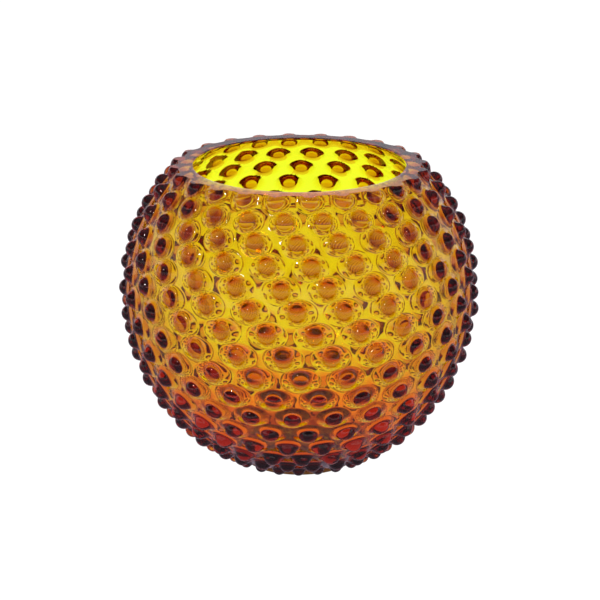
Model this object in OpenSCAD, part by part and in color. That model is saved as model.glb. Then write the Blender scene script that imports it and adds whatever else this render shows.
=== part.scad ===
// Hobnail glass globe vase: one blown glass globe with a wide ground mouth.
// Sixteen rows of pointed glass drops, the hobnails, cover the outside, and the globe
// stands on a small ground foot. The parts below are the features of that one glass:
// the thick bottom, the thin wall and each row of hobnails. They meet face to face.
// Millimetres, +Z up through the mouth, origin at the middle of the foot.

/* [Globe] */
// widest diameter, measured over the hobnail tips
globe_d = 180; // [130:1:240]
// depth from the widest level to the table, as a share of the globe's radius
belly_share = 1.053; // [1:0.001:1.07]
// glass thickness of the globe
wall_t = 3.5; // [2.5:0.1:5]

/* [Mouth and foot] */
// clear diameter of the mouth at the rim
mouth_d = 104.8; // [84:0.2:132]
// diameter of the flat foot that rests on the table
foot_d = 56; // [44:1:68]
// glass thickness at the bottom
bottom_t = 8; // [5:0.5:12]

/* [Hobnails] */
// hobnails in one ring
hobs_per_row = 24; // [18:1:30]
// height of a hobnail above the globe
hob_h = 4.5; // [3:0.1:6]
// diameter of a hobnail where it flares into the globe
hob_d = 12.8; // [8:0.2:14]
// radius of the round tip
hob_tip_r = 4.2; // [3:0.1:5]
// sideways lean of the columns from one row to the next, degrees
hob_lean = 0.865; // [-2:0.005:2]
// how much that lean grows with every row, degrees
hob_lean_growth = 0.0765; // [-0.1:0.0005:0.1]
// turn of the lowest row, degrees
hob_turn = 8.9; // [0:0.1:15]

/* [Hidden] */
$fn = 96;
row_count = 16;
// the row that sits at the widest level, with six rows above it
belly_row = 7;
wall_r = globe_d / 2 - hob_h;
inner_r = wall_r - wall_t;
mouth_r = mouth_d / 2;
foot_r = foot_d / 2;
belly_h = belly_share * wall_r;
// how far the rim lies above the widest level
rim_rise = sqrt(inner_r * inner_r - mouth_r * mouth_r);
vase_h = belly_h + rim_rise;
// height of the straight edge round the foot
foot_lip_h = 3;

// The upper half is part of one ball. The lower half is drawn out a little, so two more
// balls with lower middles take over from it: each one starts at its own depth.
mid_start = wall_r * 0.245;
mid_drop = wall_r * 0.065;
mid_start_x = sqrt(wall_r * wall_r - mid_start * mid_start);
mid_r = norm([mid_start_x, mid_start - mid_drop]);
low_start = wall_r * 0.723;
low_drop = wall_r * 0.178;
low_start_x = sqrt(mid_r * mid_r - (low_start - mid_drop) * (low_start - mid_drop));
low_r = norm([low_start_x, low_start - low_drop]);
// steepness of the surface normal where each ball starts and ends, degrees below level
top_end_tilt = asin(mid_start / wall_r);
mid_start_tilt = asin((mid_start - mid_drop) / mid_r);
mid_end_tilt = asin((low_start - mid_drop) / mid_r);
low_start_tilt = asin((low_start - low_drop) / low_r);
foot_tilt = asin((belly_h - low_drop) / low_r);

// lengths along the outline, from the widest level down
deg = PI / 180;
top_arc = wall_r * top_end_tilt * deg;
mid_arc = mid_r * (mid_end_tilt - mid_start_tilt) * deg;
low_arc = low_r * (foot_tilt - low_start_tilt) * deg;
foot_arc = top_arc + mid_arc + low_arc;
rim_arc = wall_r * asin(rim_rise / wall_r) * deg;

// spacing of the rows along the outline, from the belly row to the rim and to the foot
belly_row_lift = wall_r * 0.026;
rim_gap = wall_r * 0.040;
foot_gap = wall_r * 0.178;
pitch_above = (rim_arc - rim_gap - belly_row_lift) / (belly_row - 1);
pitch_below = (foot_arc - foot_gap + belly_row_lift) / (row_count - belly_row);

// hobnail outline: a round tip that runs into a hollow flare. The flare's circle is as
// large as it must be to leave the globe at its slope and to reach into the tip's circle.
hob_sink = 2;
tip_y = hob_h - hob_tip_r;
flare_slope = 15;
flare_sink = 0.25;
flare_bite = 0.25;
flare_rise = flare_sink + tip_y;
tip_reach = hob_tip_r - flare_bite;
flare_r = (hob_d * hob_d / 4 + flare_rise * flare_rise - tip_reach * tip_reach) / 2
    / (tip_reach - hob_d / 2 * sin(flare_slope) + flare_rise * cos(flare_slope));
flare_x = hob_d / 2 + flare_r * sin(flare_slope);
flare_y = flare_r * cos(flare_slope) - flare_sink;
// the flare is drawn up to where the two circles come nearest to each other's middles
collar_y = tip_y + hob_tip_r * (flare_y - tip_y) / norm([flare_x, flare_y - tip_y]);
// the largest share of the ring spacing that a hobnail may take
hob_share = 0.92;
amber = [0.85, 0.45, 0.05];
deep_amber = [0.70, 0.28, 0.04];
bright_amber = [0.95, 0.60, 0.10];

// how far below the widest level a row lies, along the outline
function row_arc(row) = row <= belly_row
    ? (row - belly_row) * pitch_above - belly_row_lift
    : (row - belly_row) * pitch_below - belly_row_lift;
// the ball that a row stands on: [radius, drop of its middle, tilt of the row's normal]
function row_ball(arc) =
    arc <= top_arc ? [wall_r, 0, arc / wall_r / deg] :
    arc <= top_arc + mid_arc ?
        [mid_r, mid_drop, mid_start_tilt + (arc - top_arc) / mid_r / deg] :
        [low_r, low_drop, low_start_tilt + (arc - top_arc - mid_arc) / low_r / deg];
function row_tilt(row) = row_ball(row_arc(row))[2];
function row_radius(row) = row_ball(row_arc(row))[0] * cos(row_tilt(row));
function row_height(row) = belly_h - row_ball(row_arc(row))[1]
    - row_ball(row_arc(row))[0] * sin(row_tilt(row));
// each ring sits half a step round from the next, and leans a little more towards the rim
function row_turn(row) = hob_turn
    - (15 - row) * 180 / hobs_per_row
    + (15 - row) * hob_lean
    + (15 - row) * (15 - row) * hob_lean_growth;
// hobnails shrink where the ring is too tight for the full size
function row_scale(row) =
    min(1, hob_share * 2 * PI * row_radius(row) / hobs_per_row / hob_d);

// a disc in the outline, with its middle on the axis
module ball_2d(drop, r) {
    translate([0, belly_h - drop])
        circle(r = r);
}

// outline of the globe moved in by `inset`, between two heights
module globe_2d(inset, low, high) {
    intersection() {
        union() {
            ball_2d(0, wall_r - inset);
            ball_2d(mid_drop, mid_r - inset);
            ball_2d(low_drop, low_r - inset);
        }
        translate([0, low])
            square([globe_d, high - low]);
    }
}

// the globe as a full body, which the hobnails are trimmed against
module globe_body() {
    $fn = 360;
    rotate_extrude()
        globe_2d(0, 0, vase_h);
}

module bottom_disc() {
    color(deep_amber)
    rotate_extrude()
        union() {
            globe_2d(0, 0, bottom_t);
            square([foot_r, foot_lip_h]);
        }
}

module globe_wall() {
    color(amber)
    rotate_extrude()
        difference() {
            globe_2d(0, bottom_t, vase_h);
            globe_2d(wall_t, bottom_t - 1, vase_h + 1);
        }
}

module hob_2d() {
    union() {
        intersection() {
            translate([0, tip_y])
                circle(r = hob_tip_r);
            square([hob_d, hob_d]);
        }
        difference() {
            translate([0, -hob_sink])
                square([hob_d / 2, hob_sink + collar_y]);
            translate([flare_x, flare_y])
                circle(r = flare_r);
        }
    }
}

// one hobnail standing on the wall of its row
module hob(row) {
    translate([row_radius(row), 0, row_height(row)])
        rotate([0, 90 + row_tilt(row), 0])
            scale(row_scale(row))
                rotate_extrude()
                    hob_2d();
}

module hobnail_row(row) {
    color(row % 2 == 0 ? amber : bright_amber)
    difference() {
        intersection() {
            union()
                for (i = [0 : hobs_per_row - 1])
                    rotate([0, 0, row_turn(row) - 90 + i * 360 / hobs_per_row])
                        hob(row);
            cylinder(r = globe_d, h = vase_h);
        }
        globe_body();
    }
}

bottom_disc();
globe_wall();
hobnail_row(1);  // hobnail_row_01
hobnail_row(2);  // hobnail_row_02
hobnail_row(3);  // hobnail_row_03
hobnail_row(4);  // hobnail_row_04
hobnail_row(5);  // hobnail_row_05
hobnail_row(6);  // hobnail_row_06
hobnail_row(7);  // hobnail_row_07
hobnail_row(8);  // hobnail_row_08
hobnail_row(9);  // hobnail_row_09
hobnail_row(10);  // hobnail_row_10
hobnail_row(11);  // hobnail_row_11
hobnail_row(12);  // hobnail_row_12
hobnail_row(13);  // hobnail_row_13
hobnail_row(14);  // hobnail_row_14
hobnail_row(15);  // hobnail_row_15
hobnail_row(16);  // hobnail_row_16
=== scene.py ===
# %% [markdown]
# # A hobnail globe vase in amber glass
#
# This lesson makes one piece of blown glass: a round globe with a wide ground mouth, covered
# outside with rings of pointed drops, the hobnails. Such a vase is blown into a mould with a
# pocket for every drop. The outside gets the drops, the inside stays almost smooth, and the
# open top is sawn flat and ground.
#
# Glass shows its shape by bending light, so nearly all of the work is in the shape. The whole
# vase is one closed skin with an outside, an inside, a rim and a foot. Boxes, balls or a
# texture of bumps would bend the light wrongly.

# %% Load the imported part
import math

import bpy
import numpy as np
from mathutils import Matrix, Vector


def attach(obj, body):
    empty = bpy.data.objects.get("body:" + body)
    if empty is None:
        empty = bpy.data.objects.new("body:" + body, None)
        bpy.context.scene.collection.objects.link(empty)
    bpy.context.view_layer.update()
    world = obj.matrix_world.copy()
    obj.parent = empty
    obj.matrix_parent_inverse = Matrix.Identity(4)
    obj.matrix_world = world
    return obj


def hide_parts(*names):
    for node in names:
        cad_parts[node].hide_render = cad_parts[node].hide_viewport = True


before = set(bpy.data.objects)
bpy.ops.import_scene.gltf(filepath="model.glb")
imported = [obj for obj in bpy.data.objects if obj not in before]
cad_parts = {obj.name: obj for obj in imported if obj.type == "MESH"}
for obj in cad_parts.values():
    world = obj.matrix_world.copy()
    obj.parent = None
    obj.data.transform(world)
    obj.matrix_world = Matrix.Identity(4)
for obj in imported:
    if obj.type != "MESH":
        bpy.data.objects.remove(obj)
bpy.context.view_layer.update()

# %% [markdown]
# ## The outline of the globe
#
# All sizes in this lesson are millimetres until the mesh is made. The upper half of the wall
# is part of a ball. The lower half is drawn out a little, as soft glass sags while it is
# blown, so it follows a larger arc whose middle lies past the axis. A place on the wall is
# named by `s`, the length along the outline from the widest level, positive downwards. That
# makes an even spacing of the rings easy to write down.

# %% Sizes and the outline
WALL_R = 85.5
BELLY_H = 90.0
RIM_H = 153.1
MOUTH_R = 52.4
WALL_T = 3.5
FOOT_R = 28.0
BOTTOM_T = 8.0
LOWER_R = 96.2
LOWER_SHIFT = LOWER_R - WALL_R


def outline(s, out=0.0):
    """Radius and height of the wall at length s, moved out along its normal."""
    s = np.asarray(s, float)
    up = s < 0
    a = np.where(up, s / WALL_R, s / LOWER_R)
    arc_r = np.where(up, WALL_R, LOWER_R) + out
    r = arc_r * np.cos(a) - np.where(up, 0.0, LOWER_SHIFT)
    z = BELLY_H - arc_r * np.sin(a)
    return r, z


S_RIM = -WALL_R * math.asin((RIM_H - BELLY_H) / WALL_R)
S_FOOT = LOWER_R * math.acos((FOOT_R + LOWER_SHIFT) / LOWER_R)
print(f"outline from rim to foot: {S_FOOT - S_RIM:.1f} mm")

# %% [markdown]
# ## Where the hobnails sit
#
# Every ring has 24 hobnails. Each ring is turned half a step against the next one, like
# bricks, and the pattern also leans sideways a little more in every ring, because the hot
# glass was twisted as it left the mould. Two short formulas give all 384 places, so nothing
# has to be placed by hand. A seeded random generator then moves each one by a hair, because
# blown glass is never exact. The hobnails are also a little shorter upwards than sideways,
# by the factor SQUEEZE.

# %% Rings of hobnails
PER_RING = 24
STEP = 2 * math.pi / PER_RING
RINGS = 16
BELLY_RING = 7
HOB_H = 4.45
SQUEEZE = 0.92
FULL_WIDTH = 12.8
FULL_HEIGHT = 6.7
TOP_RING_SHARE = 0.88
rng = np.random.default_rng(24)


def ring_pitch(ring):
    """Length along the outline from one ring to the next."""
    return 10.70 if ring <= BELLY_RING else 11.52


def ring_s(ring):
    """Length along the outline of a ring, counted from 1 at the rim."""
    return (ring - BELLY_RING) * ring_pitch(ring) - 2.2


def ring_turn(ring):
    """Angle of one hobnail in the ring, measured from the front towards +X."""
    n = 15 - ring
    return math.radians(8.9 - n * 7.5 + n * 0.865 + n * n * 0.0765)


rings = []
for ring in range(1, RINGS + 1):
    s0 = ring_s(ring)
    r0 = float(outline(s0)[0])
    spacing = r0 * STEP
    size = min(1.0, 0.92 * spacing / FULL_WIDTH)
    rings.append({
        "s": s0, "r": r0, "turn": ring_turn(ring), "size": size,
        "foot_x": 0.425 * spacing, "foot_y": min(FULL_HEIGHT, ring_pitch(ring) / 1.63) * size,
        "height": HOB_H * size * (TOP_RING_SHARE if ring == 1 else 1.0)
                  * rng.uniform(0.94, 1.0, PER_RING),
        "round": 4.7 * size * rng.uniform(0.96, 1.04, PER_RING),
        "ds": rng.normal(0, 0.18, PER_RING), "dx": rng.normal(0, 0.2, PER_RING),
    })
print("hobnails:", RINGS * PER_RING, "smallest foot", round(rings[-1]["foot_x"], 1), "mm")

# %% [markdown]
# ## The shape of one hobnail
#
# A hobnail is a round tip on a steep neck that runs out into a hollow flare. The flare is
# wider sideways than up and down, and it ends in a soft edge, so thin flat ribs of plain wall
# are left between neighbours. The tip works as a strong lens and the flare as a weak one.
#
# The helper walks along this outline: t = 0 is the tip and t = 1 the edge of the flare. Half
# of the walk is spent on the tip, so that the mesh is finest where the glass bends light most.

# %% One hobnail's outline
TIP_SHARE = 0.6
TIP_END = math.radians(64)
EDGE_SLOPE = math.radians(13)


def hobnail(t, height, tip_r, reach):
    """Distance from the middle and height above the wall, for t from 0 to 1."""
    a = np.clip(t / TIP_SHARE, 0, 1) * TIP_END
    tip_x = tip_r * np.sin(a)
    tip_z = height - tip_r * (1 - np.cos(a))
    x0 = tip_r * math.sin(TIP_END)
    z0 = height - tip_r * (1 - math.cos(TIP_END))
    u = np.clip((t - TIP_SHARE) / (1 - TIP_SHARE), 0, 1)
    neck = 0.3 * z0
    x1, z1 = x0 + neck * math.cos(TIP_END), z0 - neck * math.sin(TIP_END)
    lean = 0.5 * (reach - x0)
    x2, z2 = reach - lean * math.cos(EDGE_SLOPE), lean * math.sin(EDGE_SLOPE)
    b0, b1, b2, b3 = (1 - u) ** 3, 3 * u * (1 - u) ** 2, 3 * u * u * (1 - u), u ** 3
    flare_x = b0 * x0 + b1 * x1 + b2 * x2 + b3 * reach
    flare_z = b0 * z0 + b1 * z1 + b2 * z2
    on_tip = t < TIP_SHARE
    return np.where(on_tip, tip_x, flare_x), np.where(on_tip, tip_z, flare_z)


# %% [markdown]
# ## The outside
#
# The outside starts as an even net of points over the globe: lines round it and lines from
# the rim to the foot. Points that fall inside a hobnail's flare are gathered in towards the
# neck and lifted along the wall's normal. Gathering keeps the net dense on the steep neck,
# where plain lifting would leave long thin faces.

# %% Net of the outside
AROUND = PER_RING * 36
NET = 0.55
S_TOP = -WALL_R * math.acos((MOUTH_R + 0.35) / WALL_R)
DOWN = int(round((S_FOOT - S_TOP) / NET))

phi_line = np.arange(AROUND) * 2 * math.pi / AROUND
s_line = np.linspace(S_TOP, S_FOOT, DOWN)
phi, s = np.meshgrid(phi_line, s_line)
lift = np.zeros_like(s)
new_phi, new_s = phi.copy(), s.copy()

for g in rings:
    band = np.abs(s_line - g["s"]) < g["foot_y"] + 1.0
    p, q = phi[band], s[band]
    turn = (p - g["turn"]) / STEP
    which = np.round(turn).astype(int)
    k = which % PER_RING
    x = (turn - which) * STEP * g["r"] - g["dx"][k]
    y = (q - g["s"] - g["ds"][k]) / SQUEEZE
    far = np.hypot(x, y) + 1e-9
    reach = 1 / np.hypot(x / far / g["foot_x"], y / far * SQUEEZE / g["foot_y"])
    t = far / reach
    inside = t < 1
    px, pz = hobnail(t, g["height"][k], g["round"][k], reach)
    grow = np.where(inside, px / far, 1.0)
    np_, ns = new_phi[band], new_s[band]
    np_[inside] = (p + x * (grow - 1) / g["r"])[inside]
    ns[inside] = (q + SQUEEZE * y * (grow - 1))[inside]
    up = lift[band]
    up[inside] = pz[inside]
    new_phi[band], new_s[band], lift[band] = np_, ns, up

print("net:", AROUND, "x", DOWN, "points")

# %% [markdown]
# Hand-blown walls are also slightly wavy. A few long, shallow waves, less than a tenth of a
# millimetre high, are enough to make straight things look bent through the glass. The wall
# also gets thicker near the mouth: the outside swells by 1.5 mm over the last 8 mm below the
# rim, and the hobnails there sink into the swelling.

# %% Waves and the thick rim
SWELL, SWELL_DEPTH = 1.5, 8.0


def waves(angle, length, height, count, seed):
    """A sum of long waves over the globe, at most about `height` high."""
    r = np.random.default_rng(seed)
    total = np.zeros_like(angle)
    for _ in range(count):
        total += np.sin(r.integers(2, 14) * angle + length / r.uniform(5, 16) + r.uniform(0, 6.3))
    return height * total / math.sqrt(count)


close_to_rim = np.clip(1 - (new_s - S_RIM) / SWELL_DEPTH, 0, 1)
swell = SWELL * close_to_rim ** 2 * (3 - 2 * close_to_rim)
lift = swell + lift * (1 - swell / HOB_H)
radius, z = outline(new_s, lift + waves(new_phi, new_s, 0.03, 9, 3))
outer = np.stack([radius * np.sin(new_phi), -radius * np.cos(new_phi), z], -1)

# %% [markdown]
# ## The rim
#
# The mouth is sawn off and ground flat, which also cuts the top ring of hobnails in half and
# leaves a scalloped edge. Everything above the rim's level is pressed down onto it. The one
# point in each line that sits next to the cut is slid along the line to meet the level
# exactly, so that the scallops get a clean edge.

# %% Grind the rim
over = outer[..., 2] > RIM_H
last = DOWN - 1 - np.argmax(over[::-1], axis=0)
cols = np.arange(AROUND)
a, b = outer[last, cols], outer[last + 1, cols]
f = (a[:, 2] - RIM_H) / (a[:, 2] - b[:, 2])
cut = a + (b - a) * f[:, None]
outer[..., 2] = np.minimum(outer[..., 2], RIM_H)
outer[last, cols] = cut
rim_out = np.hypot(cut[:, 0], cut[:, 1])
print(f"rim edge between {rim_out.min():.1f} and {rim_out.max():.1f} mm from the axis")

# %% [markdown]
# ## The inside
#
# The inside follows the wall at a distance of 3.5 mm. At the bottom a soft round leads into a
# thick floor. Behind each hobnail the glass was drawn outwards into the mould's pocket, so
# the inside has a shallow dimple there.

# %% Net of the inside
IN_DOWN = 230
DIMPLE = 0.45
DIMPLE_X, DIMPLE_Y = 3.9, 3.4
SOFT = 3.0
top_tilt = math.atan2(-(RIM_H - 0.35 - BELLY_H), MOUTH_R)
tilt_line = np.linspace(top_tilt, math.pi / 2 - 0.02, IN_DOWN)
s_fine = np.linspace(-120, LOWER_R * math.acos(LOWER_SHIFT / LOWER_R), 2000)
r_fine, z_fine = outline(s_fine)
s_at_tilt = np.interp(tilt_line, np.arctan2(BELLY_H - z_fine, r_fine), s_fine)
in_r, in_z = outline(s_at_tilt, -WALL_T)
to_wall = np.hypot(in_r, in_z - BELLY_H)
to_floor = (BELLY_H - BOTTOM_T) / np.maximum(np.sin(tilt_line), 1e-3)
reach_in = -SOFT * np.logaddexp(-to_wall / SOFT, -to_floor / SOFT)
phi_in, tilt_in = np.meshgrid(phi_line, tilt_line)
s_in = np.repeat(s_at_tilt[:, None], AROUND, 1)
far_in = np.repeat(reach_in[:, None], AROUND, 1)
for g in rings:
    turn = (phi_in - g["turn"]) / STEP
    x = (turn - np.round(turn)) * STEP * g["r"]
    y = s_in - g["s"]
    far_in += DIMPLE * g["size"] * np.exp(-(x / DIMPLE_X) ** 2 - (y / DIMPLE_Y) ** 2)
far_in += waves(phi_in, s_in, 0.06, 9, 8)
rim_hold = np.clip((s_in - S_RIM) / 4, 0, 1)
far_in = reach_in[:, None] * (1 - rim_hold) + far_in * rim_hold
r_in = far_in * np.cos(tilt_in)
z_in = BELLY_H - far_in * np.sin(tilt_in)
inner = np.stack([r_in * np.sin(phi_in), -r_in * np.cos(phi_in), z_in], -1)
print("floor of the inside at", round(float(inner[-1, 0, 2]), 2), "mm")

# %% [markdown]
# ## The foot
#
# The vase stands on a small foot that is ground flat. The outside ends at the foot's edge
# with a short step down and a narrow bevel, and a last fan of faces closes the flat.

# %% Rings of the foot
def ring_points(r, height):
    """One level ring of points."""
    return np.stack([r * np.sin(phi_line), -r * np.cos(phi_line), np.full(AROUND, height)], -1)[None]


foot_top = float(outline(S_FOOT)[1])
foot = np.concatenate([
    ring_points(FOOT_R + 0.02, foot_top * 0.6), ring_points(FOOT_R, 0.5),
    ring_points(FOOT_R - 0.12, 0.2), ring_points(FOOT_R - 0.45, 0.0),
    ring_points(FOOT_R - 6, 0.0), ring_points(FOOT_R - 16, 0.0)])
print(f"foot step {foot_top:.1f} mm high")

# %% [markdown]
# ## One closed skin
#
# The rows of points are stacked in one order: inside from the floor up, rim, outside down,
# foot. Faces between neighbouring rows close the skin, and one point in the middle of the
# floor and of the foot close the two ends. A closed skin matters, because the renderer only
# knows how much glass a ray went through when every way in has a way out.

# %% Build the mesh
rows = np.concatenate([inner[::-1], outer, foot])
count = len(rows)
points = np.concatenate([rows.reshape(-1, 3), [[0, 0, inner[-1, :, 2].mean()], [0, 0, 0]]]) / 1000
i = np.arange(count - 1)[:, None] * AROUND
j = np.arange(AROUND)[None]
j2 = (j + 1) % AROUND
quads = np.stack([i + j, i + AROUND + j, i + AROUND + j2, i + j2], -1).reshape(-1, 4)
start, end = count * AROUND, count * AROUND + 1
j, j2 = j[0], j2[0]
caps = [np.stack([np.full(AROUND, start), j, j2], -1),
        np.stack([np.full(AROUND, end), (count - 1) * AROUND + j2, (count - 1) * AROUND + j], -1)]

mesh = bpy.data.meshes.new("vase_glass")
loops = np.concatenate([quads.ravel(), caps[0].ravel(), caps[1].ravel()])
sizes = np.concatenate([np.full(len(quads), 4), np.full(2 * AROUND, 3)])
mesh.vertices.add(len(points))
mesh.vertices.foreach_set("co", points.astype(np.float32).ravel())
mesh.loops.add(len(loops))
mesh.loops.foreach_set("vertex_index", loops.astype(np.int32))
mesh.polygons.add(len(sizes))
starts = np.concatenate([[0], np.cumsum(sizes)[:-1]])
mesh.polygons.foreach_set("loop_start", starts.astype(np.int32))
mesh.update(calc_edges=True)
mesh.validate()
mesh.polygons.foreach_set("use_smooth", np.ones(len(mesh.polygons), bool))
mesh.set_sharp_from_angle(angle=math.radians(38))
vase = bpy.data.objects.new("vase_glass", mesh)
bpy.context.scene.collection.objects.link(vase)

import bmesh
bm = bmesh.new()
bm.from_mesh(mesh)
volume = bm.calc_volume(signed=True)
open_edges = sum(len(e.link_faces) != 2 for e in bm.edges)
bm.free()
print(f"faces {len(mesh.polygons)}, volume {volume * 1e6:.1f} ml, open edges {open_edges}")

# %% Tie it to the part
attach(vase, "root")
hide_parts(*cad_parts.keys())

# %% [markdown]
# ## Amber glass
#
# Amber glass is coloured all the way through, so its colour must come from depth and not from
# its surface: thin walls look yellow, and a long way through a hobnail looks orange or dark
# red. The surface is clear, and a Volume Absorption node inside takes out blue fast, green
# slowly and red hardly at all.

# %% The glass material
glass = bpy.data.materials.new("amber_glass")
glass.use_nodes = True
nodes, links = glass.node_tree.nodes, glass.node_tree.links
surface = nodes["Principled BSDF"]
surface.inputs["Base Color"].default_value = (1, 1, 1, 1)
surface.inputs["Transmission Weight"].default_value = 1.0
surface.inputs["Roughness"].default_value = 0.0
surface.inputs["IOR"].default_value = 1.5
tint = nodes.new("ShaderNodeVolumeAbsorption")
WALL_PASS = (0.83, 0.53, 0.035)
loss = [-math.log(v) / (WALL_T / 1000) for v in WALL_PASS]
tint.inputs["Density"].default_value = max(loss)
tint.inputs["Color"].default_value = [1 - v / max(loss) for v in loss] + [1]
links.new(tint.outputs["Volume"], nodes["Material Output"].inputs["Volume"])
mesh.materials.append(glass)
print("loss per metre:", [round(v, 1) for v in loss])

# %% [markdown]
# The moulded skin is fire-polished and has no roughness at all. Only the two flats that were
# ground, the rim and the foot, are a little dull, and the grinding left them uneven. Their
# dullness is switched on by height and broken up by a fine noise.

# %% Ground rim and foot
place = nodes.new("ShaderNodeTexCoord")
height = nodes.new("ShaderNodeSeparateXYZ")
links.new(place.outputs["Object"], height.inputs["Vector"])


def step_at(low, high):
    """1 above `high`, 0 below `low`, both heights in metres, and the other way if low > high."""
    ramp = nodes.new("ShaderNodeMapRange")
    ramp.inputs["From Min"].default_value = low
    ramp.inputs["From Max"].default_value = high
    links.new(height.outputs["Z"], ramp.inputs["Value"])
    return ramp.outputs["Result"]


flats = nodes.new("ShaderNodeMath")
flats.operation = "MAXIMUM"
links.new(step_at(RIM_H / 1000 - 0.00012, RIM_H / 1000 - 0.00004), flats.inputs[0])
links.new(step_at(0.0002, 0.0001), flats.inputs[1])
grain = nodes.new("ShaderNodeTexNoise")
grain.inputs["Scale"].default_value = 260
grain.inputs["Detail"].default_value = 5
links.new(place.outputs["Object"], grain.inputs["Vector"])
dull = nodes.new("ShaderNodeMapRange")
dull.inputs["To Min"].default_value = 0.05
dull.inputs["To Max"].default_value = 0.22
links.new(grain.outputs["Fac"], dull.inputs["Value"])
rough = nodes.new("ShaderNodeMath")
rough.operation = "MULTIPLY"
links.new(flats.outputs["Value"], rough.inputs[0])
links.new(dull.outputs["Result"], rough.inputs[1])
links.new(rough.outputs["Value"], surface.inputs["Roughness"])

# %% [markdown]
# ## The studio
#
# Clear glass is seen by what lies behind it, so it is lit like a jar on a light table: a
# plain white floor that glows evenly. Three things ask for more than one even white.
#
# - Seen directly, the floor is plain white.
# - Seen through the glass, it carries a painted shadow of the vase. Its glow is painted darker
#   and warmer towards the foot by distance from the axis, as if the vase kept light away from
#   the floor it stands on. Further out it is a yellow-green that the amber glass turns into a
#   clear yellow.
# - Seen as a reflection it is a dim lilac grey. Bright reflections would lie over the amber
#   like a veil and wash it out.
#
# A Light Path node tells the three kinds of ray apart. The glass itself has no such trick.

# %% Floor
floor_mesh = bpy.data.meshes.new("floor")
HALF = 4.0
corners = [(-HALF, -HALF, 0), (HALF, -HALF, 0), (HALF, HALF, 0), (-HALF, HALF, 0)]
floor_mesh.from_pydata(corners, [], [(0, 1, 2, 3)])
floor = bpy.data.objects.new("floor", floor_mesh)
bpy.context.scene.collection.objects.link(floor)
white = bpy.data.materials.new("floor_white_painted_shadow")
white.use_nodes = True
nodes, links = white.node_tree.nodes, white.node_tree.links
paper = nodes["Principled BSDF"]
paper.inputs["Base Color"].default_value = (0.02, 0.02, 0.02, 1)
paper.inputs["Roughness"].default_value = 0.9
paper.inputs["Specular IOR Level"].default_value = 0.0
paper.inputs["Emission Strength"].default_value = 1.0
place = nodes.new("ShaderNodeTexCoord")
far_off = nodes.new("ShaderNodeVectorMath")
far_off.operation = "LENGTH"
ray = nodes.new("ShaderNodeLightPath")
painted_shadow_ramp = nodes.new("ShaderNodeValToRGB")
painted_shadow_ramp.color_ramp.interpolation = "EASE"
reach = nodes.new("ShaderNodeMapRange")
reach.inputs["From Max"].default_value = 0.45
# Painted shadow: seen through the glass, the floor's glow is dark red-brown at the foot and warm
# orange a little further out. Past that it is a bright yellow-green glow. The colour is set by
# distance from the vase's axis.
THROUGH_WITH_PAINTED_SHADOW = [(0.05, (0.08, 0.03, 0.02)), (0.09, (0.65, 0.25, 0.09)), (0.14, (1.3, 0.80, 0.30)),
           (0.26, (1.2, 1.32, 0.8)), (0.46, (1.2, 2.2, 1.2)), (1.0, (1.2, 2.3, 1.3))]
while len(painted_shadow_ramp.color_ramp.elements) < len(THROUGH_WITH_PAINTED_SHADOW):
    painted_shadow_ramp.color_ramp.elements.new(0.5)
for mark, (where, colour) in zip(painted_shadow_ramp.color_ramp.elements, THROUGH_WITH_PAINTED_SHADOW):
    mark.position = where
    mark.color = (*colour, 1)
dim = nodes.new("ShaderNodeMix")
dim.data_type = "RGBA"
dim.inputs["B"].default_value = (0.32, 0.28, 0.36, 1)
glow = nodes.new("ShaderNodeMix")
glow.data_type = "RGBA"
glow.inputs["B"].default_value = (1.05, 1.05, 1.05, 1)
links.new(place.outputs["Object"], far_off.inputs[0])
links.new(far_off.outputs["Value"], reach.inputs["Value"])
links.new(reach.outputs["Result"], painted_shadow_ramp.inputs["Fac"])
links.new(ray.outputs["Is Reflection Ray"], dim.inputs["Factor"])
links.new(painted_shadow_ramp.outputs["Color"], dim.inputs["A"])
links.new(ray.outputs["Is Camera Ray"], glow.inputs["Factor"])
links.new(dim.outputs["Result"], glow.inputs["A"])
links.new(glow.outputs["Result"], paper.inputs["Emission Color"])
floor_mesh.materials.append(white)

# %% [markdown]
# The air above follows the same idea. Light that comes through the glass has a bright
# horizon, a darker band half-way up, which puts a deeper orange into the round tips, and a
# bright ceiling. Light that is mirrored is bright only near the horizon, so thin pale edges
# show on the rim and the flares and nowhere else.

# %% Air and ceiling
world = bpy.data.worlds.new("studio")
bpy.context.scene.world = world
world.use_nodes = True
nodes, links = world.node_tree.nodes, world.node_tree.links
way = nodes.new("ShaderNodeTexCoord")
split = nodes.new("ShaderNodeSeparateXYZ")
links.new(way.outputs["Generated"], split.inputs["Vector"])


def bands(colours):
    """Colours by height, from the horizon at 0 to straight up at 1."""
    ramp_node = nodes.new("ShaderNodeValToRGB")
    ramp = ramp_node.color_ramp
    ramp.interpolation = "EASE"
    while len(ramp.elements) < len(colours):
        ramp.elements.new(0.5)
    for mark, (height, colour) in zip(ramp.elements, colours):
        mark.position = height
        mark.color = (*colour, 1)
    links.new(split.outputs["Z"], ramp_node.inputs["Fac"])
    return ramp_node.outputs["Color"]


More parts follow.
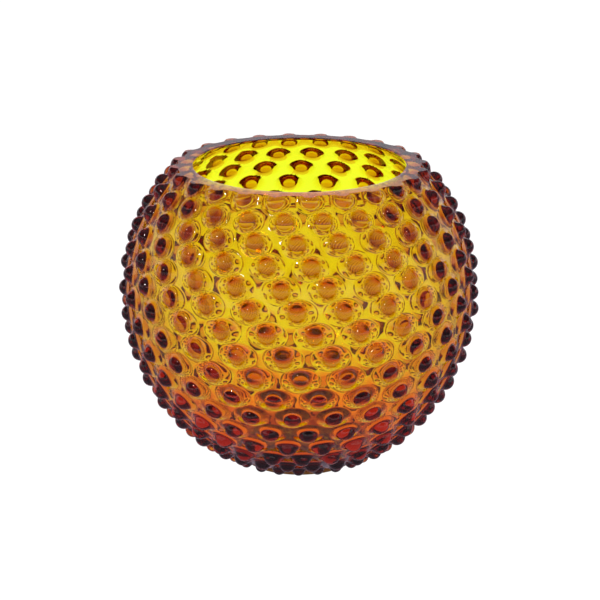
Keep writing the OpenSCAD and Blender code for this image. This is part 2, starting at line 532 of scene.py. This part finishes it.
seen_through = bands([(0.0, (1.1, 1.6, 1.0)), (0.18, (1.0, 1.3, 0.9)), (0.42, (0.55, 0.42, 0.20)),
                      (0.62, (0.45, 0.34, 0.18)), (0.80, (1.1, 1.5, 1.3)), (1.0, (1.1, 1.5, 1.3))])
mirrored = bands([(0.0, (0.80, 0.78, 0.85)), (0.16, (0.80, 0.78, 0.85)),
                  (0.45, (0.12, 0.10, 0.13)), (1.0, (0.30, 0.28, 0.34))])
ray = nodes.new("ShaderNodeLightPath")
pick = nodes.new("ShaderNodeMix")
pick.data_type = "RGBA"
links.new(ray.outputs["Is Reflection Ray"], pick.inputs["Factor"])
links.new(seen_through, pick.inputs["A"])
links.new(mirrored, pick.inputs["B"])
links.new(pick.outputs["Result"], nodes["Background"].inputs["Color"])

# %% [markdown]
# One small lamp high on the left gives the round tips a few white glints.

# %% Lamp
lamp = bpy.data.lights.new("glint", "AREA")
lamp.size = 0.12
lamp.energy = 2.5
lamp_object = bpy.data.objects.new("glint", lamp)
bpy.context.scene.collection.objects.link(lamp_object)
lamp_object.location = (-0.55, -0.75, 1.0)
lamp_object.rotation_mode = "QUATERNION"
to_vase = Vector((0, 0, BELLY_H / 1000)) - lamp_object.location
lamp_object.rotation_quaternion = to_vase.to_track_quat("-Z", "Y")

# %% [markdown]
# ## The camera
#
# A long lens from a little over a metre away looks slightly down, so the mouth opens into a
# wide oval and the far wall shows through it. It stands a hair to the right of the front.

# %% Camera and picture
cam = bpy.data.cameras.new("camera")
cam.sensor_width = 36
cam.lens = 152.0
camera = bpy.data.objects.new("camera", cam)
bpy.context.scene.collection.objects.link(camera)
look_at = Vector((0.0003, 0, 0.0829))
tilt = math.radians(17.6)
side = math.radians(1.2)
away = Vector((math.sin(side) * math.cos(tilt), -math.cos(side) * math.cos(tilt), math.sin(tilt)))
camera.location = look_at + away * 1.267
camera.rotation_mode = "QUATERNION"
camera.rotation_quaternion = (-away).to_track_quat("-Z", "Y")
bpy.context.scene.camera = camera

scene = bpy.context.scene
scene.view_settings.view_transform = "Standard"
scene.cycles.max_bounces = 40
scene.cycles.transmission_bounces = 40
scene.cycles.glossy_bounces = 12
scene.cycles.use_denoising = True
